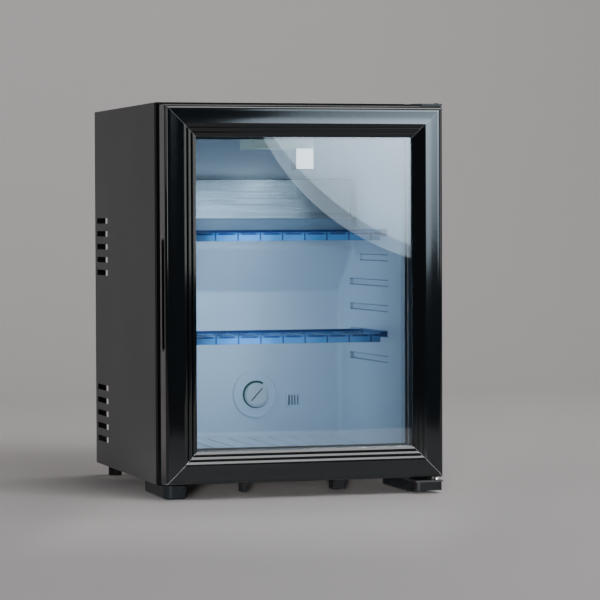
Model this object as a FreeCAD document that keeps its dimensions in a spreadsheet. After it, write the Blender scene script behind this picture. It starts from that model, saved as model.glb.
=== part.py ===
import FreeCAD, Part
import math
import os
from types import SimpleNamespace

import Sketcher
from FreeCAD import Placement, Rotation, Vector

# Glass door minibar fridge: a heat-driven cooling unit at the back, an insulated cabinet, a
# mitred glass door on the right-hand side, two shelves. Millimetres; X runs to the right, Y to
# the back, Z up. The origin lies on the ground under the middle of the fridge.

SIZES = {
    # whole fridge
    "cabinet_width": 402,
    "overall_depth": 450,
    "overall_height": 551,
    "foot_height": 19,
    "sheet_thickness": 1,
    "wall_thickness": 42.5,
    "machine_depth": 87,
    "return_flange": 16,
    "fit_gap": 0.3,
    "cut_overrun": 2,
    "match_tolerance": 0.01,
    # inner liner
    "liner_thickness": 2,
    "liner_draft": 6.5,
    "back_wall_thickness": 36,
    "liner_corner": 9,
    "bulge_depth_share": 0.2315,
    "bulge_drop": 163,
    "slope_height": 64,
    "lowest_groove": 118.7,
    "top_groove_drop": 144.55,
    "low_groove_reach": 21,
    "high_groove_gap": 23,
    "groove_front": 20,
    "floor_rib_width": 5,
    "floor_rib_rise": 1.2,
    "floor_rib_margin": 25,
    # side vents
    "vent_length": 71,
    "vent_height": 8.3,
    "vent_pitch": 19.4,
    "vent_rear_margin": 13.5,
    "vent_low_row": 39.3,
    "vent_high_row": 289.7,
    # front frame and door
    "front_frame_depth": 16,
    "front_frame_chamfer": 4,
    "gasket_space": 15,
    "door_thickness": 32.5,
    "door_margin": 4.5,
    "bead_radius": 6,
    "bead_width": 8.5,
    "dish_width": 17,
    "dish_bow": 0.15,
    "ridge_width": 5.7,
    "ridge_drop": 2.7,
    "ridge_bow": 0.2,
    "ridge_step": 0.9,
    "ridge_return": 1.4,
    "glass_lip": 2.2,
    "glass_overlap": 9.5,
    "glass_thickness": 4,
    "spacer_width": 9.2,
    "trim_inset": 20,
    "trim_width": 27,
    "trim_thickness": 3,
    "gasket_inset": 5,
    "gasket_head_width": 13,
    "gasket_head_depth": 6,
    "gasket_neck_width": 8,
    "gasket_foot_width": 4,
    "gasket_foot_depth": 6,
    # handle recess
    "handle_length": 157,
    "handle_side_margin": 6.5,
    "handle_depth": 12,
    "handle_wall": 2,
    "handle_corner": 8,
    # hinges
    "hinge_axis_inset": 4.5,
    "hinge_axis_depth": 16,
    "pin_radius": 2.5,
    "pin_running_gap": 0.05,
    "pin_reach": 12,
    "bush_radius": 3.5,
    "bush_length": 14,
    "hinge_plate_length": 40,
    "hinge_plate_thickness": 2.9,
    "hinge_plate_drop": 1.3,
    "hinge_plate_front": 12,
    "hinge_plate_chamfer": 10,
    "hinge_plate_rear": 1.5,
    "hinge_screw_radius": 1.7,
    "hinge_screw_length": 10,
    "hinge_head_radius": 3.3,
    "hinge_head_height": 1.2,
    "hinge_screw_inset": 8,
    "hinge_screw_pitch": 17,
    "lower_plate_thickness": 2.5,
    "lower_plate_rear": 42,
    "washer_radius": 4.4,
    "washer_height": 4,
    "hinge_cover_height": 12,
    "hinge_cover_corner": 6,
    # feet and underside
    "skid_width": 34,
    "skid_length": 124,
    "skid_inset": 6,
    "skid_setback": 27.5,
    "skid_nose": 12,
    "skid_heel": 5,
    "skid_edge": 2.5,
    "rear_foot_radius": 10,
    "rear_foot_inset": 26,
    "rear_rail_width": 25,
    "rear_rail_height": 22,
    "rib_width": 6,
    "rib_length": 22,
    "rib_place": 61,
    "block_width": 18,
    "block_place": 80,
    "support_setback": 45,
    # shelves
    "shelf_side_gap": 1.5,
    "shelf_front_share": 0.328,
    "shelf_back_gap": 0.5,
    "shelf_plate": 4.5,
    "shelf_runner_rise": 3.5,
    "runner_width": 10,
    "shelf_lip_height": 11.5,
    "shelf_lip_thickness": 2.5,
    "shelf_lip_inset": 10.5,
    "shelf_rib_margin": 14.5,
    "shelf_rib_width": 1.6,
    "shelf_rib_rise": 0.8,
    "shelf_web": 9,
    "shelf_slot_margin": 14,
    "rear_lip_rise": 3.5,
    # evaporator and drip tray
    "evaporator_side_gap": 11.5,
    "evaporator_height": 57.5,
    "evaporator_depth": 21,
    "evaporator_sheet": 3,
    "evaporator_top": 61.5,
    "evaporator_lip": 3,
    "tray_height": 18,
    "tray_depth": 27,
    "tray_wall": 2,
    "tray_gap": 0.5,
    # lamp
    "lamp_width": 92,
    "lamp_depth": 70,
    "lamp_height": 20,
    "lamp_shift": 3,
    "lamp_setback": 41.5,
    "lamp_corner": 5,
    "lens_width": 28,
    "lens_depth": 27,
    "lens_height": 30,
    "lens_corner": 3,
    # thermostat and sensor cover
    "dial_place": 15.5,
    "dial_height": 64,
    "dial_radius": 17.4,
    "dial_depth": 5,
    "dial_slot_width": 1.8,
    "dial_slot_depth": 1.5,
    "dial_edge": 1.5,
    "ring_radius": 21,
    "ring_depth": 3,
    "bezel_radius": 35,
    "bezel_depth": 5,
    "bezel_rim": 3,
    "dial_shaft_radius": 3,
    "sensor_place": 74.5,
    "sensor_height": 54,
    "sensor_width": 23,
    "sensor_depth": 3,
    "sensor_slot_width": 2.2,
    "sensor_slot_pitch": 4.6,
    "sensor_slot_margin": 4,
    # cooling unit
    "tube_radius": 8,
    "coil_radius": 7,
    "bend_radius": 16,
    "unit_depth": 43,
    "boiler_side": 66,
    "boiler_place": 117,
    "boiler_height": 262,
    "boiler_corner": 12,
    "boiler_base": 49,
    "condenser_top_gap": 81,
    "condenser_fall": 8,
    "condenser_end": 150,
    "condenser_drop": 40,
    "fin_side": 56,
    "fin_thickness": 0.8,
    "fin_pitch": 15.4,
    "fin_start": 60,
    "fin_collar": 1,
    "coil_right": 130,
    "coil_left": 40,
    "coil_top_gap": 72,
    "coil_tail_share": 0.28,
    "coil_fall": 8,
    "vessel_radius": 28,
    "vessel_left": 60,
    "vessel_right": 150,
    "vessel_cap": 5,
    "vessel_step": 5,
    "bracket_thickness": 2,
    "bracket_flange": 16,
    "panel_screw_radius": 4,
    "panel_screw_height": 2,
    "panel_screw_inset": 14,
    "control_width": 84,
    "control_depth": 58,
    "control_height": 34,
    "control_place": 80,
    "control_base": 5,
    "control_corner": 3,
    "gland_radius": 8,
    "gland_bore": 3.5,
    "gland_length": 9,
}

VENT_ROWS = 5
GROOVE_ROWS = 6
LOW_GROOVE_ROWS = 4
RIDGES = 3
FLOOR_RIBS = 9
SHELF_RIBS = 9
SENSOR_SLOTS = 4
FINS = 12
COIL_RUNS = 3
DIAL_ANGLE = 48
LOWER_SHELF_ROW = 1
UPPER_SHELF_ROW = 5
OUTWARD = -1
INWARD = 1

doc = FreeCAD.newDocument("minibar")
sheet = doc.addObject("Spreadsheet::Sheet", "sizes")
for row, (alias, number) in enumerate(SIZES.items(), start=1):
    sheet.set(f"A{row}", alias)
    sheet.set(f"B{row}", str(number))
    sheet.setAlias(f"B{row}", alias)
doc.recompute()


class Size:
    """A length with its value and with the formula that binds it to the sheet."""

    def __init__(self, value, formula):
        self.value = value
        self.formula = formula

    def __add__(self, other):
        return Size(self.value + other.value, f"({self.formula} + {other.formula})")

    def __sub__(self, other):
        return Size(self.value - other.value, f"({self.formula} - {other.formula})")

    def __mul__(self, other):
        other = as_size(other)
        return Size(self.value * other.value, f"({self.formula} * {other.formula})")

    def __truediv__(self, other):
        other = as_size(other)
        return Size(self.value / other.value, f"({self.formula} / {other.formula})")

    def __neg__(self):
        return Size(-self.value, f"(-1 * {self.formula})")


def as_size(number):
    return number if isinstance(number, Size) else Size(number, f"({number})")


ZERO = Size(0.0, "0")
n = SimpleNamespace(**{
    alias: Size(float(sheet.get(alias)), f"sizes.{alias}") for alias in SIZES
})
nodes = []

# Planes and heights that many pieces share
half_width = n.cabinet_width / 2
door_front = -n.overall_depth / 2
rear = n.overall_depth / 2
door_back = door_front + n.door_thickness
frame_front = door_back + n.gasket_space
shell_front = frame_front + n.front_frame_depth
foam_back = rear - n.machine_depth
panel_back = foam_back + n.sheet_thickness
floor_z = n.foot_height + n.wall_thickness
ceiling_z = n.overall_height - n.wall_thickness
inner_half = half_width - n.wall_thickness
liner_back = foam_back - n.back_wall_thickness
liner_depth = liner_back - shell_front
bulge_face = liner_back - liner_depth * n.bulge_depth_share
bulge_z = ceiling_z - n.bulge_drop
slope_z = bulge_z - n.slope_height
shelf_half = inner_half - n.shelf_side_gap
groove_height = n.shelf_plate + n.shelf_runner_rise + n.fit_gap * 2
groove_span = ceiling_z - n.top_groove_drop - floor_z - n.lowest_groove
groove_pitch = groove_span / (GROOVE_ROWS - 1)
door_bottom = n.foot_height + n.door_margin
door_top = n.overall_height - n.door_margin
ridge_pitch = n.ridge_width + n.ridge_step
ridge_fall = n.ridge_drop - n.ridge_return
frame_width = n.bead_width + n.dish_width + ridge_pitch * RIDGES - n.ridge_step
hinge_x = half_width - n.hinge_axis_inset
hinge_y = door_front + n.hinge_axis_depth
unit_y = foam_back + n.unit_depth


def wall_at(y):
    """Half the width between the drafted side walls at the depth y."""
    return inner_half - (y - shell_front) * n.liner_draft / liner_depth


def bind(item, prop, size):
    item.setExpression(prop, size.formula)


def new_body(label):
    body = doc.addObject("PartDesign::Body", label)
    body.Label = label
    nodes.append(body)
    return body


def new_sketch(body, role, offset):
    sketch = body.newObject("Sketcher::SketchObject", f"{body.Label}_sketch")
    origin_plane = [item for item in body.Origin.OriginFeatures if item.Role == role][0]
    sketch.AttachmentSupport = [(origin_plane, "")]
    sketch.MapMode = "FlatFace"
    sketch.AttachmentOffset = Placement(Vector(0, 0, offset.value), Rotation())
    bind(sketch, "AttachmentOffset.Base.z", offset)
    return sketch


def constrain(sketch, kind, items, size):
    """Adds one measured constraint and binds it to the sheet."""
    index = sketch.addConstraint(Sketcher.Constraint(kind, *items, size.value))
    name = f"{kind}_{index}"
    sketch.renameConstraint(index, name)
    bind(sketch, f"Constraints.{name}", size)


def bow_radius(across, along, rise):
    """The radius of an arc from the two legs of its chord and its rise over the chord."""
    return (across * across + along * along) / (rise * 8) + rise / 2


def arc_middle(start, end, radius, side):
    """The point halfway along the smaller arc of this radius, to the left of the way for +1."""
    way = end - start
    half_chord = way.Length / 2
    rise = radius - math.sqrt(radius * radius - half_chord * half_chord)
    left = Vector(-way.y, way.x, 0).normalize()
    return start + way / 2 + left * (rise * side)


def draw(sketch, outline):
    """A closed outline. A point is (x, y), or (x, y, radius, side) where an arc leaves it."""
    places = [Vector(point[0].value, point[1].value, 0) for point in outline]
    ends = []
    for index, point in enumerate(outline):
        start = places[index]
        end = places[(index + 1) % len(places)]
        if len(point) == 2:
            edge = sketch.addGeometry(Part.LineSegment(start, end), False)
        else:
            middle = arc_middle(start, end, point[2].value, point[3])
            edge = sketch.addGeometry(Part.Arc(start, middle, end), False)
        to_first = (sketch.getPoint(edge, 1) - start).Length
        to_second = (sketch.getPoint(edge, 2) - start).Length
        ends.append((edge, 1, 2) if to_first < to_second else (edge, 2, 1))
    for index, point in enumerate(outline):
        edge, start_end, far_end = ends[index]
        next_edge, next_start, next_far = ends[(index + 1) % len(ends)]
        sketch.addConstraint(Sketcher.Constraint("Coincident", edge, far_end, next_edge, next_start))
        constrain(sketch, "DistanceX", (-1, 1, edge, start_end), point[0])
        constrain(sketch, "DistanceY", (-1, 1, edge, start_end), point[1])
        if len(point) == 4:
            constrain(sketch, "Radius", (edge,), point[2])


def draw_circle(sketch, x, y, radius):
    circle = Part.Circle(Vector(x.value, y.value, 0), Vector(0, 0, 1), radius.value)
    edge = sketch.addGeometry(circle, False)
    constrain(sketch, "DistanceX", (-1, 1, edge, 3), x)
    constrain(sketch, "DistanceY", (-1, 1, edge, 3), y)
    constrain(sketch, "Radius", (edge,), radius)


def rectangle(x_low, y_low, x_high, y_high):
    return [(x_low, y_low), (x_high, y_low), (x_high, y_high), (x_low, y_high)]


def rounded(x_low, y_low, x_high, y_high, corner):
    """A rectangle with round corners, drawn counter-clockwise."""
    return [
        (x_low + corner, y_low),
        (x_high - corner, y_low, corner, OUTWARD),
        (x_high, y_low + corner),
        (x_high, y_high - corner, corner, OUTWARD),
        (x_high - corner, y_high),
        (x_low + corner, y_high, corner, OUTWARD),
        (x_low, y_high - corner),
        (x_low, y_low + corner, corner, OUTWARD),
    ]


def sketch_for(body, role, place, outlines, circles):
    sketch = new_sketch(body, role, place)
    for outline in outlines:
        draw(sketch, outline)
    for circle in circles:
        draw_circle(sketch, *circle)
    return sketch


def pad(body, role, low, high, outlines=(), circles=()):
    """Adds material between two planes across X, Y or Z."""
    place = -high if role == "XZ_Plane" else low
    feature_sketch = sketch_for(body, role, place, outlines, circles)
    feature = body.newObject("PartDesign::Pad", f"{body.Label}_pad")
    feature.Profile = feature_sketch
    feature.Length = (high - low).value
    bind(feature, "Length", high - low)
    return feature


def pocket(body, role, low, high, outlines=(), circles=()):
    """Cuts material away between two planes across X, Y or Z."""
    place = -low if role == "XZ_Plane" else high
    feature_sketch = sketch_for(body, role, place, outlines, circles)
    feature = body.newObject("PartDesign::Pocket", f"{body.Label}_pocket")
    feature.Profile = feature_sketch
    feature.Length = (high - low).value
    bind(feature, "Length", high - low)
    return feature


def repeat(body, feature, role, pitch, count):
    """A row of copies of one feature, along the normal of an origin plane."""
    pattern = body.newObject("PartDesign::LinearPattern", f"{body.Label}_row")
    pattern.Originals = [feature]
    axis = [item for item in body.Origin.OriginFeatures if item.Role == role][0]
    pattern.Direction = (axis, [""])
    pattern.Occurrences = count
    pattern.Length = (pitch * (count - 1)).value
    bind(pattern, "Length", pitch * (count - 1))
    body.Tip = pattern
    return pattern


def edges_where(feature, test):
    doc.recompute()
    return [f"Edge{index}" for index, edge in enumerate(feature.Shape.Edges, start=1) if test(edge)]


def near(number, size):
    return abs(number - size.value) < n.match_tolerance.value


def fillet(body, feature, radius, test):
    dressing = body.newObject("PartDesign::Fillet", f"{body.Label}_fillet")
    dressing.Base = (feature, edges_where(feature, test))
    dressing.Radius = radius.value
    bind(dressing, "Radius", radius)
    return dressing


def chamfer(body, feature, size, test):
    dressing = body.newObject("PartDesign::Chamfer", f"{body.Label}_chamfer")
    dressing.Base = (feature, edges_where(feature, test))
    dressing.Size = size.value
    bind(dressing, "Size", size)
    return dressing


def block(label, low, high):
    """A plain block between two corners."""
    box = doc.addObject("Part::Box", label)
    box.Label = label
    for prop, axis in (("Length", 0), ("Width", 1), ("Height", 2)):
        bind(box, prop, high[axis] - low[axis])
    for letter, corner in zip("xyz", low):
        bind(box, f"Placement.Base.{letter}", corner)
    nodes.append(box)
    return box


def side_panel(label, side):
    """A sheet side with a return flange at the back and two groups of vent slots."""
    outer = half_width * side
    inner = (half_width - n.sheet_thickness) * side
    flange = (half_width - n.return_flange) * side
    body = new_body(label)
    section = [
        (outer, shell_front),
        (outer, rear),
        (flange, rear),
        (flange, rear - n.sheet_thickness),
        (inner, rear - n.sheet_thickness),
        (inner, shell_front),
    ]
    pad(body, "XY_Plane", n.foot_height, n.overall_height, [section])
    low_x = outer - n.cut_overrun
    slot_rear = rear - n.vent_rear_margin
    for row_height in (n.vent_low_row, n.vent_high_row):
        low_z = n.foot_height + row_height - n.vent_height / 2
        slot = rectangle(slot_rear - n.vent_length, low_z, slot_rear, low_z + n.vent_height)
        cut = pocket(body, "YZ_Plane", low_x, low_x + n.cut_overrun * 2, [slot])
        repeat(body, cut, "Z_Axis", n.vent_pitch, VENT_ROWS)


side_panel("left_side_panel", -1)
side_panel("right_side_panel", 1)

# The top sheet folds down at the back, between the two sides.
top_panel = new_body("top_panel")
top_inner = n.overall_height - n.sheet_thickness
pad(top_panel, "YZ_Plane", -half_width + n.sheet_thickness, half_width - n.sheet_thickness, [[
    (shell_front, n.overall_height),
    (shell_front, top_inner),
    (rear - n.sheet_thickness * 2, top_inner),
    (rear - n.sheet_thickness * 2, n.overall_height - n.return_flange),
    (rear - n.sheet_thickness, n.overall_height - n.return_flange),
    (rear - n.sheet_thickness, n.overall_height),
]])

block(
    "bottom_panel",
    (-half_width + n.sheet_thickness, shell_front, n.foot_height),
    (half_width - n.sheet_thickness, foam_back, n.foot_height + n.sheet_thickness),
)

# The rail under the open back carries the rear feet.
rear_rail = new_body("rear_rail")
rail_front = rear - n.sheet_thickness - n.rear_rail_width
pad(rear_rail, "YZ_Plane", -half_width + n.sheet_thickness, half_width - n.sheet_thickness, [[
    (rail_front, n.foot_height),
    (rear - n.sheet_thickness, n.foot_height),
    (rear - n.sheet_thickness, n.foot_height + n.rear_rail_height),
    (rear - n.sheet_thickness * 2, n.foot_height + n.rear_rail_height),
    (rear - n.sheet_thickness * 2, n.foot_height + n.sheet_thickness),
    (rail_front, n.foot_height + n.sheet_thickness),
]])


def liner_block(body, grow):
    """The liner's inner space, grown on all sides: a drafted box with its upper back set forward."""
    loft_back = liner_back + grow
    front_box = rectangle(
        -(inner_half + grow), floor_z - grow, inner_half + grow, ceiling_z + grow,
    )
    back_half = wall_at(loft_back) + grow
    back_box = rectangle(-back_half, floor_z - grow, back_half, ceiling_z + grow)
    front_sketch = sketch_for(body, "XZ_Plane", -shell_front, [front_box], [])
    back_sketch = sketch_for(body, "XZ_Plane", -loft_back, [back_box], [])
    loft = body.newObject("PartDesign::AdditiveLoft", f"{body.Label}_loft")
    loft.Profile = front_sketch
    loft.Sections = [back_sketch]
    loft.Ruled = True
    over = n.cut_overrun
    step = pocket(body, "YZ_Plane", -half_width, half_width, [[
        (bulge_face + grow, ceiling_z + grow + over),
        (bulge_face + grow, bulge_z),
        (loft_back, slope_z),
        (loft_back + over, slope_z),
        (loft_back + over, ceiling_z + grow + over),
    ]])
    return step


def groove_z(row):
    """The lower edge of one row of shelf grooves."""
    return floor_z + n.lowest_groove + groove_pitch * row


def shelf_grooves(body, make, wall_offset, far, grow):
    """Rows of grooves on both side walls. They run straight, so they fade out in the drafted wall."""
    front = shell_front + n.groove_front - grow
    low_rows = (0, LOW_GROOVE_ROWS, bulge_face + n.low_groove_reach)
    high_rows = (LOW_GROOVE_ROWS, GROOVE_ROWS - LOW_GROOVE_ROWS, bulge_face - n.high_groove_gap)
    for first_row, rows, groove_back in (low_rows, high_rows):
        back = groove_back + grow
        outlines = [[
            ((wall_at(front) + wall_offset) * side, front),
            (far * side, front),
            (far * side, back),
            ((wall_at(back) + wall_offset) * side, back),
        ] for side in (-1, 1)]
        low = groove_z(first_row) - grow
        feature = make(body, "XY_Plane", low, low + groove_height + grow * 2, outlines)
        repeat(body, feature, "Z_Axis", groove_pitch, rows)


def inside_liner(edge):
    """True for the edges of the inner space, apart from those around its open front."""
    box = edge.BoundBox
    spare = n.match_tolerance.value
    inside_z = box.ZMin > floor_z.value - spare and box.ZMax < ceiling_z.value + spare
    inside_y = box.YMax < liner_back.value + spare and not near(box.YMax, shell_front)
    inside_x = max(-box.XMin, box.XMax) < inner_half.value + spare
    outer_step = near(box.YMin, bulge_face + n.liner_thickness)
    return inside_x and inside_y and inside_z and not outer_step


liner = new_body("inner_liner")
liner_step = liner_block(liner, n.liner_thickness)
skin = liner.newObject("PartDesign::Thickness", "liner_skin")
doc.recompute()
front_faces = [
    f"Face{index}" for index, face in enumerate(liner_step.Shape.Faces, start=1)
    if near(face.CenterOfMass.y, shell_front)
]
skin.Base = (liner_step, front_faces)
skin.Value = n.liner_thickness.value
bind(skin, "Value", n.liner_thickness)
skin.Reversed = True
skin.Join = 1
fillet(liner, skin, n.liner_corner, inside_liner)
groove_half = shelf_half + n.fit_gap
shelf_grooves(liner, pad, n.liner_thickness / 2, groove_half + n.liner_thickness, n.liner_thickness)
shelf_grooves(liner, pocket, -n.cut_overrun, groove_half, ZERO)
floor_rib_pitch = inner_half * 2 / (FLOOR_RIBS + 1)
first_floor_rib = -floor_rib_pitch * ((FLOOR_RIBS - 1) / 2)
floor_rib = pad(liner, "XY_Plane", floor_z, floor_z + n.floor_rib_rise, [rectangle(
    first_floor_rib - n.floor_rib_width / 2, shell_front + n.floor_rib_margin,
    first_floor_rib + n.floor_rib_width / 2, liner_back - n.floor_rib_margin,
)])
repeat(liner, floor_rib, "X_Axis", floor_rib_pitch, FLOOR_RIBS)

# Foam fills the shell around the liner and behind it as far as the machine space.
foam = new_body("foam_insulation")
foam_grow = n.liner_thickness + n.fit_gap
pad(foam, "XZ_Plane", shell_front, foam_back, [rectangle(
    -half_width + n.sheet_thickness, n.foot_height + n.sheet_thickness,
    half_width - n.sheet_thickness, n.overall_height - n.sheet_thickness,
)])
foam_cavity_back = liner_back + foam_grow
foam_front_sketch = sketch_for(foam, "XZ_Plane", -shell_front, [rectangle(
    -(inner_half + foam_grow), floor_z - foam_grow, inner_half + foam_grow, ceiling_z + foam_grow,
)], [])
foam_back_half = wall_at(foam_cavity_back) + foam_grow
foam_back_sketch = sketch_for(foam, "XZ_Plane", -foam_cavity_back, [rectangle(
    -foam_back_half, floor_z - foam_grow, foam_back_half, ceiling_z + foam_grow,
)], [])
foam_cavity = foam.newObject("PartDesign::SubtractiveLoft", "foam_cavity")
foam_cavity.Profile = foam_front_sketch
foam_cavity.Sections = [foam_back_sketch]
foam_cavity.Ruled = True
pad(foam, "YZ_Plane", -half_width + n.sheet_thickness, half_width - n.sheet_thickness, [[
    (bulge_face + foam_grow, ceiling_z + foam_grow),
    (bulge_face + foam_grow, bulge_z),
    (foam_cavity_back, slope_z),
    (foam_back, slope_z),
    (foam_back, ceiling_z + foam_grow),
]])
shelf_grooves(foam, pocket, -n.cut_overrun, groove_half + foam_grow, foam_grow)

block(
    "back_panel",
    (-half_width + n.sheet_thickness, foam_back, n.foot_height + n.sheet_thickness),
    (half_width - n.sheet_thickness, panel_back, n.overall_height - n.sheet_thickness),
)
panel_screws = new_body("back_panel_screws")
screw_x = half_width - n.sheet_thickness - n.panel_screw_inset
screw_low = n.foot_height + n.sheet_thickness + n.panel_screw_inset
screw_high = n.overall_height - n.sheet_thickness - n.panel_screw_inset
pad(panel_screws, "XZ_Plane", panel_back, panel_back + n.panel_screw_height, circles=[
    (screw_x * side, z, n.panel_screw_radius)
    for side in (-1, 1) for z in (screw_low, screw_high)
])

# The black front frame closes the gap between shell and liner; the door seals against it.
front_frame = new_body("front_frame")
frame_ring = pad(front_frame, "XZ_Plane", frame_front, shell_front, [
    rectangle(-half_width, n.foot_height, half_width, n.overall_height),
    rectangle(-inner_half, floor_z, inner_half, ceiling_z),
])
chamfer(
    front_frame, frame_ring, n.front_frame_chamfer,
    lambda edge: near(edge.BoundBox.YMax, frame_front) and near(edge.BoundBox.XMax, half_width)
    or near(edge.BoundBox.YMax, frame_front) and near(edge.BoundBox.XMin, -half_width),
)
plate_top = n.overall_height - n.hinge_plate_drop
plate_bottom = plate_top - n.hinge_plate_thickness
plate_left = half_width - n.hinge_plate_length
plate_back = shell_front - n.hinge_plate_rear
pocket(front_frame, "XY_Plane", plate_bottom, n.overall_height + n.cut_overrun, [rectangle(
    plate_left - n.fit_gap, frame_front - n.cut_overrun,
    half_width + n.cut_overrun, plate_back + n.fit_gap,
)])
screw_y = shell_front - n.hinge_screw_inset
screw_places = [
    (half_width - n.hinge_screw_inset, screw_y),
    (half_width - n.hinge_screw_inset - n.hinge_screw_pitch, screw_y),
]
screw_hole = n.hinge_screw_radius + n.pin_running_gap
screw_tip = plate_top - n.hinge_screw_length
pocket(front_frame, "XY_Plane", screw_tip, plate_bottom + n.cut_overrun, circles=[
    (x, y, screw_hole) for x, y in screw_places
])

# Upper hinge: a sheet plate let into the front frame, with a riveted pin that points down.
hinge_plate = new_body("top_hinge_plate")
plate_front = hinge_y - n.hinge_plate_front
pad(hinge_plate, "XY_Plane", plate_bottom, plate_top, [[
    (plate_left + n.hinge_plate_chamfer, plate_front),
    (half_width, plate_front),
    (half_width, plate_back),
    (plate_left, plate_back),
    (plate_left, plate_front + n.hinge_plate_chamfer),
]])
pad(hinge_plate, "XY_Plane", door_top - n.pin_reach, plate_bottom, circles=[
    (hinge_x, hinge_y, n.pin_radius),
])
pad(hinge_plate, "XY_Plane", plate_top, plate_top + n.hinge_head_height, circles=[
    (hinge_x, hinge_y, n.hinge_head_radius),
])
pocket(hinge_plate, "XY_Plane", plate_bottom, plate_top, circles=[
    (x, y, screw_hole) for x, y in screw_places
])
hinge_screws = new_body("top_hinge_screws")
pad(hinge_screws, "XY_Plane", screw_tip, plate_top, circles=[
    (x, y, n.hinge_screw_radius) for x, y in screw_places
])
pad(hinge_screws, "XY_Plane", plate_top, plate_top + n.hinge_head_height, circles=[
    (x, y, n.hinge_head_radius) for x, y in screw_places
])

# Lower hinge: a plate under the cabinet with a pin, a washer stack and a moulded cover.
lower_plate = new_body("bottom_hinge_plate")
lower_bottom = n.foot_height - n.lower_plate_thickness
lower_back = shell_front + n.lower_plate_rear
pad(lower_plate, "XY_Plane", lower_bottom, n.foot_height, [rectangle(
    plate_left, plate_front, half_width, lower_back,
)])
pad(lower_plate, "XY_Plane", n.foot_height, door_bottom + n.pin_reach, circles=[
    (hinge_x, hinge_y, n.pin_radius),
])
washer = new_body("hinge_washer")
pin_bore = n.pin_radius + n.pin_running_gap
pad(washer, "XY_Plane", n.foot_height, n.foot_height + n.washer_height, circles=[
    (hinge_x, hinge_y, pin_bore), (hinge_x, hinge_y, n.washer_radius),
])
skid_front = shell_front - n.skid_setback
hinge_cover = new_body("hinge_cover")
pad(hinge_cover, "XY_Plane", lower_bottom - n.hinge_cover_height, lower_bottom, [rounded(
    plate_left, plate_front, half_width, skid_front - n.fit_gap, n.hinge_cover_corner,
)])


def skid(label, side):
    """A moulded front foot: a long runner with a rounded nose and a bevelled sole."""
    body = new_body(label)
    out = half_width - n.skid_inset
    low = out - n.skid_width
    left, right = (low, out) if side > 0 else (-out, -low)
    back = skid_front + n.skid_length
    runner = pad(body, "XY_Plane", ZERO, n.foot_height, [[
        (left + n.skid_nose, skid_front),
        (right - n.skid_nose, skid_front, n.skid_nose, OUTWARD),
        (right, skid_front + n.skid_nose),
        (right, back - n.skid_heel, n.skid_heel, OUTWARD),
        (right - n.skid_heel, back),
        (left + n.skid_heel, back, n.skid_heel, OUTWARD),
        (left, back - n.skid_heel),
        (left, skid_front + n.skid_nose, n.skid_nose, OUTWARD),
    ]])
    chamfer(body, runner, n.skid_edge, lambda edge: near(edge.BoundBox.ZMax, ZERO))
    if side > 0:
        pocket(body, "XY_Plane", lower_bottom - n.fit_gap, n.foot_height, [rectangle(
            plate_left - n.fit_gap, skid_front - n.cut_overrun,
            half_width, lower_back + n.fit_gap,
        )])


skid("left_front_foot", -1)
skid("right_front_foot", 1)


def rear_foot(label, side):
    """A round pad under the rear rail."""
    foot = doc.addObject("Part::Cylinder", label)
    foot.Label = label
    bind(foot, "Radius", n.rear_foot_radius)
    bind(foot, "Height", n.foot_height)
    bind(foot, "Placement.Base.x", (half_width - n.rear_foot_inset) * side)
    bind(foot, "Placement.Base.y", rail_front + n.rear_rail_width / 2)
    nodes.append(foot)


rear_foot("rear_foot_left", -1)
rear_foot("rear_foot_right", 1)

# Two narrow supports show under the cabinet, behind the feet.
support_front = shell_front + n.support_setback
block(
    "underside_rib",
    (-n.rib_place - n.rib_width / 2, support_front, ZERO),
    (-n.rib_place + n.rib_width / 2, support_front + n.rib_length, n.foot_height),
)
block(
    "underside_block",
    (n.block_place - n.block_width / 2, support_front, ZERO),
    (n.block_place + n.block_width / 2, support_front + n.rib_length, n.foot_height),
)

# Cold plate: an open extrusion against the forward part of the back wall.
evaporator = new_body("evaporator_plate")
cold_front = bulge_face - n.evaporator_depth
cold_top = ceiling_z - n.evaporator_top
cold_bottom = cold_top - n.evaporator_height
cold_sheet = n.evaporator_sheet
cold_half = wall_at(bulge_face) - n.evaporator_side_gap
pad(evaporator, "YZ_Plane", -cold_half, cold_half, [[
    (bulge_face, cold_top),
    (cold_front, cold_top),
    (cold_front, cold_bottom + cold_sheet),
    (cold_front - n.evaporator_lip, cold_bottom + cold_sheet),
    (cold_front - n.evaporator_lip, cold_bottom),
    (bulge_face, cold_bottom),
    (bulge_face, cold_bottom + cold_sheet),
    (cold_front + cold_sheet, cold_bottom + cold_sheet),
    (cold_front + cold_sheet, cold_top - cold_sheet),
    (bulge_face, cold_top - cold_sheet),
]])

drip_tray = new_body("drip_tray")
tray_top = cold_bottom - n.tray_gap
tray_front = bulge_face - n.tray_depth
pad(drip_tray, "XY_Plane", tray_top - n.tray_height, tray_top, [rectangle(
    -cold_half, tray_front, cold_half, bulge_face,
)])
pocket(drip_tray, "XY_Plane", tray_top - n.tray_height + n.tray_wall, tray_top, [rectangle(
    -cold_half + n.tray_wall, tray_front + n.tray_wall,
    cold_half - n.tray_wall, bulge_face - n.tray_wall,
)])

# Interior lamp: a translucent housing under the ceiling and a lit block at its right end.
lamp_right = n.lamp_width / 2 - n.lamp_shift
lamp_front = shell_front + n.lamp_setback
lamp_low = ceiling_z - n.lamp_height
lamp_housing = new_body("lamp_housing")
pad(lamp_housing, "XY_Plane", lamp_low, ceiling_z, [rounded(
    lamp_right - n.lamp_width, lamp_front, lamp_right, lamp_front + n.lamp_depth, n.lamp_corner,
)])
lamp_lens = new_body("lamp_lens")
pad(lamp_lens, "XY_Plane", lamp_low - n.lens_height, lamp_low, [rounded(
    lamp_right - n.lens_width, lamp_front, lamp_right, lamp_front + n.lens_depth, n.lens_corner,
)])

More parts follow.
